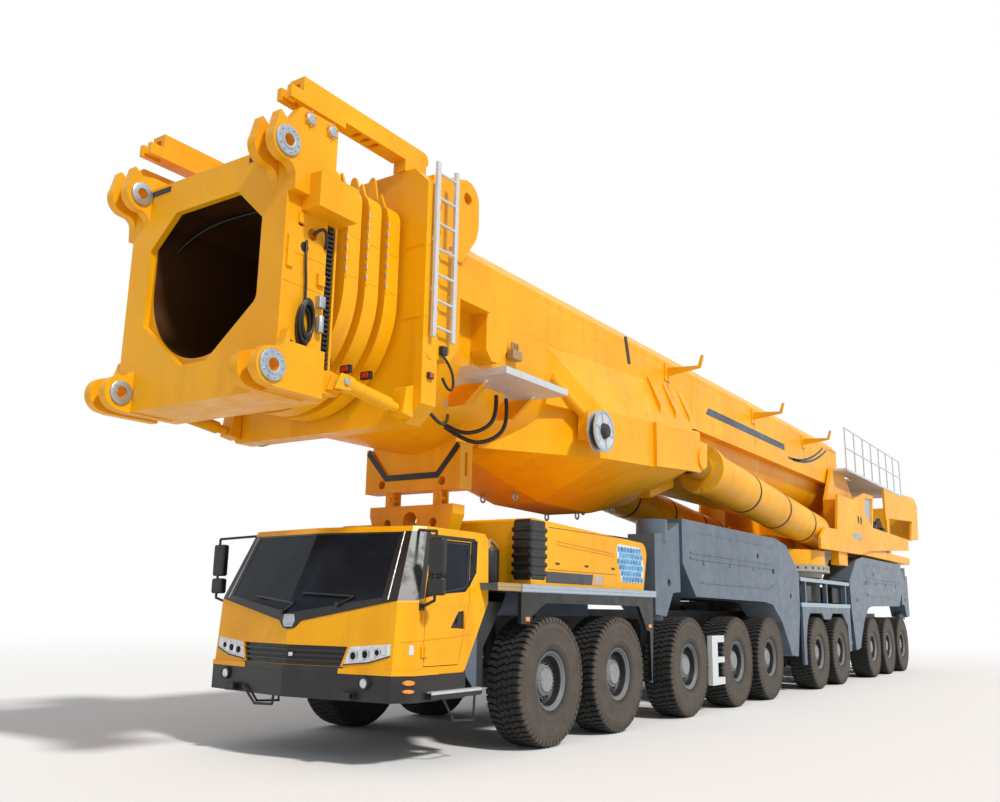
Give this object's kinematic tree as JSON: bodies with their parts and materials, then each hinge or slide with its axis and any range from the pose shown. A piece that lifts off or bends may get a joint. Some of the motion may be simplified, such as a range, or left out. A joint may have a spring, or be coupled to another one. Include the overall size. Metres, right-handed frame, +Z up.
{
  "type": "mobile crane",
  "caption": "All-terrain telescopic mobile crane in travelling position, with swinging outriggers, slewing superstructure and hollow boom head.",
  "frame": {"origin": "on the ground under the middle of the crane's bounding box", "axes": "+X to the crane's left, +Y to its rear, +Z up; the cab faces -Y"},
  "size_m": [3.685, 27.71, 6.7198],
  "materials": {
    "crane_yellow": "gloss paint, warm crane yellow",
    "slate_grey": "satin paint, slate grey",
    "frame_black": "satin black chassis paint",
    "axle_grey": "cast and painted dark grey",
    "tyre": "tyre rubber, dusty",
    "ring_steel": "machined bearing ring",
    "glass": "tinted laminated glass",
    "black_plastic": "moulded black plastic",
    "galvanised": "galvanised railings and treads",
    "engine_iron": "cast engine block"
  },
  "bodies": {
    "carrier": {"axle_beams": "axle_grey", "chassis_frame": "frame_black", "slewing_ring": "ring_steel", "cab_shell": "crane_yellow", "cab_glass": "glass", "cab_interior": "black_plastic", "front_bumper": "black_plastic", "cab_mirrors": "black_plastic", "engine_hood": "crane_yellow", "engine_block": "engine_iron", "catwalks": "slate_grey", "boom_rest": "crane_yellow"},
    "cab_door_left": {"cab_door_left": "crane_yellow"},
    "cab_door_right": {"cab_door_right": "crane_yellow"},
    "superstructure": {"superstructure_frame": "crane_yellow", "superstructure_tail": "crane_yellow", "hoist_winches": "slate_grey", "platform_railing": "galvanised"},
    "boom": {"boom_base": "crane_yellow", "boom_top_bars": "crane_yellow", "boom_side_fittings": "galvanised"},
    "boom_section_1": {"boom_section_1": "crane_yellow"},
    "boom_section_2": {"boom_section_2": "crane_yellow"},
    "boom_section_3": {"boom_section_3": "crane_yellow"},
    "boom_head": {"boom_head": "crane_yellow", "boom_section_4": "crane_yellow"},
    "luffing_barrels": {"luffing_barrels": "crane_yellow"},
    "luffing_rods": {"luffing_rods": "ring_steel"},
    "wheel_1_left": {"wheel_1_left": "tyre"},
    "wheel_1_right": {"wheel_1_right": "tyre"},
    "wheel_2_left": {"wheel_2_left": "tyre"},
    "wheel_2_right": {"wheel_2_right": "tyre"},
    "wheel_3_left": {"wheel_3_left": "tyre"},
    "wheel_3_right": {"wheel_3_right": "tyre"},
    "wheel_4_left": {"wheel_4_left": "tyre"},
    "wheel_4_right": {"wheel_4_right": "tyre"},
    "wheel_5_left": {"wheel_5_left": "tyre"},
    "wheel_5_right": {"wheel_5_right": "tyre"},
    "wheel_6_left": {"wheel_6_left": "tyre"},
    "wheel_6_right": {"wheel_6_right": "tyre"},
    "wheel_7_left": {"wheel_7_left": "tyre"},
    "wheel_7_right": {"wheel_7_right": "tyre"},
    "wheel_8_left": {"wheel_8_left": "tyre"},
    "wheel_8_right": {"wheel_8_right": "tyre"},
    "wheel_9_left": {"wheel_9_left": "tyre"},
    "wheel_9_right": {"wheel_9_right": "tyre"},
    "wheel_10_left": {"wheel_10_left": "tyre"},
    "wheel_10_right": {"wheel_10_right": "tyre"},
    "knuckle_1_left": {"knuckle_1_left": "axle_grey"},
    "knuckle_1_right": {"knuckle_1_right": "axle_grey"},
    "knuckle_2_left": {"knuckle_2_left": "axle_grey"},
    "knuckle_2_right": {"knuckle_2_right": "axle_grey"},
    "knuckle_3_left": {"knuckle_3_left": "axle_grey"},
    "knuckle_3_right": {"knuckle_3_right": "axle_grey"},
    "knuckle_4_left": {"knuckle_4_left": "axle_grey"},
    "knuckle_4_right": {"knuckle_4_right": "axle_grey"},
    "outrigger_front_left": {"outrigger_front_left": "slate_grey"},
    "outrigger_front_right": {"outrigger_front_right": "slate_grey"},
    "outrigger_rear_left": {"outrigger_rear_left": "slate_grey"},
    "outrigger_rear_right": {"outrigger_rear_right": "slate_grey"}
  },
  "joints": [
    {"name": "steer_1_left", "type": "hinge", "parent": "carrier", "child": "knuckle_1_left", "pos_m": [1.1, -9.395, 0.745], "axis": [0, 0, 1], "range_deg": [-25, 25]},
    {"name": "steer_1_right", "type": "hinge", "parent": "carrier", "child": "knuckle_1_right", "pos_m": [-1.1, -9.395, 0.745], "axis": [0, 0, 1], "range_deg": [-25, 25]},
    {"name": "steer_2_left", "type": "hinge", "parent": "carrier", "child": "knuckle_2_left", "pos_m": [1.1, -7.655, 0.745], "axis": [0, 0, 1], "range_deg": [-20, 20]},
    {"name": "steer_2_right", "type": "hinge", "parent": "carrier", "child": "knuckle_2_right", "pos_m": [-1.1, -7.655, 0.745], "axis": [0, 0, 1], "range_deg": [-20, 20]},
    {"name": "steer_3_left", "type": "hinge", "parent": "carrier", "child": "knuckle_3_left", "pos_m": [1.1, -5.265, 0.745], "axis": [0, 0, 1], "range_deg": [-12.5, 12.5]},
    {"name": "steer_3_right", "type": "hinge", "parent": "carrier", "child": "knuckle_3_right", "pos_m": [-1.1, -5.265, 0.745], "axis": [0, 0, 1], "range_deg": [-12.5, 12.5]},
    {"name": "steer_4_left", "type": "hinge", "parent": "carrier", "child": "knuckle_4_left", "pos_m": [1.1, -3.195, 0.745], "axis": [0, 0, 1], "range_deg": [-7.5, 7.5]},
    {"name": "steer_4_right", "type": "hinge", "parent": "carrier", "child": "knuckle_4_right", "pos_m": [-1.1, -3.195, 0.745], "axis": [0, 0, 1], "range_deg": [-7.5, 7.5]},
    {"name": "roll_1_left", "type": "hinge", "parent": "knuckle_1_left", "child": "wheel_1_left", "pos_m": [1.465, -9.395, 0.745], "axis": [1, 0, 0], "continuous": true},
    {"name": "roll_1_right", "type": "hinge", "parent": "knuckle_1_right", "child": "wheel_1_right", "pos_m": [-1.465, -9.395, 0.745], "axis": [1, 0, 0], "continuous": true},
    {"name": "roll_2_left", "type": "hinge", "parent": "knuckle_2_left", "child": "wheel_2_left", "pos_m": [1.465, -7.655, 0.745], "axis": [1, 0, 0], "continuous": true},
    {"name": "roll_2_right", "type": "hinge", "parent": "knuckle_2_right", "child": "wheel_2_right", "pos_m": [-1.465, -7.655, 0.745], "axis": [1, 0, 0], "continuous": true},
    {"name": "roll_3_left", "type": "hinge", "parent": "knuckle_3_left", "child": "wheel_3_left", "pos_m": [1.465, -5.265, 0.745], "axis": [1, 0, 0], "continuous": true},
    {"name": "roll_3_right", "type": "hinge", "parent": "knuckle_3_right", "child": "wheel_3_right", "pos_m": [-1.465, -5.265, 0.745], "axis": [1, 0, 0], "continuous": true},
    {"name": "roll_4_left", "type": "hinge", "parent": "knuckle_4_left", "child": "wheel_4_left", "pos_m": [1.465, -3.195, 0.745], "axis": [1, 0, 0], "continuous": true},
    {"name": "roll_4_right", "type": "hinge", "parent": "knuckle_4_right", "child": "wheel_4_right", "pos_m": [-1.465, -3.195, 0.745], "axis": [1, 0, 0], "continuous": true},
    {"name": "roll_5_left", "type": "hinge", "parent": "carrier", "child": "wheel_5_left", "pos_m": [1.465, -1.455, 0.745], "axis": [1, 0, 0], "continuous": true},
    {"name": "roll_5_right", "type": "hinge", "parent": "carrier", "child": "wheel_5_right", "pos_m": [-1.465, -1.455, 0.745], "axis": [1, 0, 0], "continuous": true},
    {"name": "roll_6_left", "type": "hinge", "parent": "carrier", "child": "wheel_6_left", "pos_m": [1.465, 1.785, 0.745], "axis": [1, 0, 0], "continuous": true},
    {"name": "roll_6_right", "type": "hinge", "parent": "carrier", "child": "wheel_6_right", "pos_m": [-1.465, 1.785, 0.745], "axis": [1, 0, 0], "continuous": true},
    {"name": "roll_7_left", "type": "hinge", "parent": "carrier", "child": "wheel_7_left", "pos_m": [1.465, 3.525, 0.745], "axis": [1, 0, 0], "continuous": true},
    {"name": "roll_7_right", "type": "hinge", "parent": "carrier", "child": "wheel_7_right", "pos_m": [-1.465, 3.525, 0.745], "axis": [1, 0, 0], "continuous": true},
    {"name": "roll_8_left", "type": "hinge", "parent": "carrier", "child": "wheel_8_left", "pos_m": [1.465, 6.685, 0.745], "axis": [1, 0, 0], "continuous": true},
    {"name": "roll_8_right", "type": "hinge", "parent": "carrier", "child": "wheel_8_right", "pos_m": [-1.465, 6.685, 0.745], "axis": [1, 0, 0], "continuous": true},
    {"name": "roll_9_left", "type": "hinge", "parent": "carrier", "child": "wheel_9_left", "pos_m": [1.465, 8.425, 0.745], "axis": [1, 0, 0], "continuous": true},
    {"name": "roll_9_right", "type": "hinge", "parent": "carrier", "child": "wheel_9_right", "pos_m": [-1.465, 8.425, 0.745], "axis": [1, 0, 0], "continuous": true},
    {"name": "roll_10_left", "type": "hinge", "parent": "carrier", "child": "wheel_10_left", "pos_m": [1.465, 10.165, 0.745], "axis": [1, 0, 0], "continuous": true},
    {"name": "roll_10_right", "type": "hinge", "parent": "carrier", "child": "wheel_10_right", "pos_m": [-1.465, 10.165, 0.745], "axis": [1, 0, 0], "continuous": true},
    {"name": "door_left_swing", "type": "hinge", "parent": "carrier", "child": "cab_door_left", "pos_m": [1.474, -11.545, 1.3], "axis": [0, 0, -1], "range_deg": [0, 70]},
    {"name": "door_right_swing", "type": "hinge", "parent": "carrier", "child": "cab_door_right", "pos_m": [-1.474, -11.545, 1.3], "axis": [0, 0, 1], "range_deg": [0, 70]},
    {"name": "outrigger_front_left_swing", "type": "hinge", "parent": "carrier", "child": "outrigger_front_left", "pos_m": [1.32, 0.225, 1.5], "axis": [0, 0, 1], "range_deg": [0, 62]},
    {"name": "outrigger_front_right_swing", "type": "hinge", "parent": "carrier", "child": "outrigger_front_right", "pos_m": [-1.32, 0.225, 1.5], "axis": [0, 0, -1], "range_deg": [0, 62]},
    {"name": "outrigger_rear_left_swing", "type": "hinge", "parent": "carrier", "child": "outrigger_rear_left", "pos_m": [1.32, 5.205, 1.5], "axis": [0, 0, -1], "range_deg": [0, 62]},
    {"name": "outrigger_rear_right_swing", "type": "hinge", "parent": "carrier", "child": "outrigger_rear_right", "pos_m": [-1.32, 5.205, 1.5], "axis": [0, 0, 1], "range_deg": [0, 62]},
    {"name": "slew", "type": "hinge", "parent": "carrier", "child": "superstructure", "pos_m": [0, 2.705, 2.62], "axis": [0, 0, 1], "continuous": true},
    {"name": "boom_luff", "type": "hinge", "parent": "superstructure", "child": "boom", "pos_m": [0, 5.505, 4.95], "axis": [-1, 0, 0], "range_deg": [0, 80]},
    {"name": "cylinder_swing", "type": "hinge", "parent": "superstructure", "child": "luffing_barrels", "pos_m": [0, 3.605, 3.4], "axis": [-1, 0, 0], "range_deg": [0, 81.64]},
    {"name": "cylinder_extend", "type": "slide", "parent": "luffing_barrels", "child": "luffing_rods", "axis": [0, -0.9961, 0.0883], "range_m": [0, 3.1415]},
    {"name": "telescope_1", "type": "slide", "parent": "boom", "child": "boom_section_1", "axis": [0, -1, 0], "range_m": [0, 10.5]},
    {"name": "telescope_2", "type": "slide", "parent": "boom_section_1", "child": "boom_section_2", "axis": [0, -1, 0], "range_m": [0, 10.5]},
    {"name": "telescope_3", "type": "slide", "parent": "boom_section_2", "child": "boom_section_3", "axis": [0, -1, 0], "range_m": [0, 10.5]},
    {"name": "telescope_4", "type": "slide", "parent": "boom_section_3", "child": "boom_head", "axis": [0, -1, 0], "range_m": [0, 10.5]}
  ],
  "couplings": [
    {"joint": "steer_1_right", "follows": "steer_1_left", "ratio": 1},
    {"joint": "steer_2_left", "follows": "steer_1_left", "ratio": 0.8},
    {"joint": "steer_2_right", "follows": "steer_1_left", "ratio": 0.8},
    {"joint": "steer_3_left", "follows": "steer_1_left", "ratio": 0.5},
    {"joint": "steer_3_right", "follows": "steer_1_left", "ratio": 0.5},
    {"joint": "steer_4_left", "follows": "steer_1_left", "ratio": 0.3},
    {"joint": "steer_4_right", "follows": "steer_1_left", "ratio": 0.3},
    {"joint": "cylinder_swing", "follows": "boom_luff", "ratio": 1.0204},
    {"joint": "cylinder_extend", "follows": "boom_luff", "m_per_rad": 2.2496},
    {"joint": "telescope_2", "follows": "telescope_1", "ratio": 1},
    {"joint": "telescope_3", "follows": "telescope_1", "ratio": 1},
    {"joint": "telescope_4", "follows": "telescope_1", "ratio": 1}
  ]
}
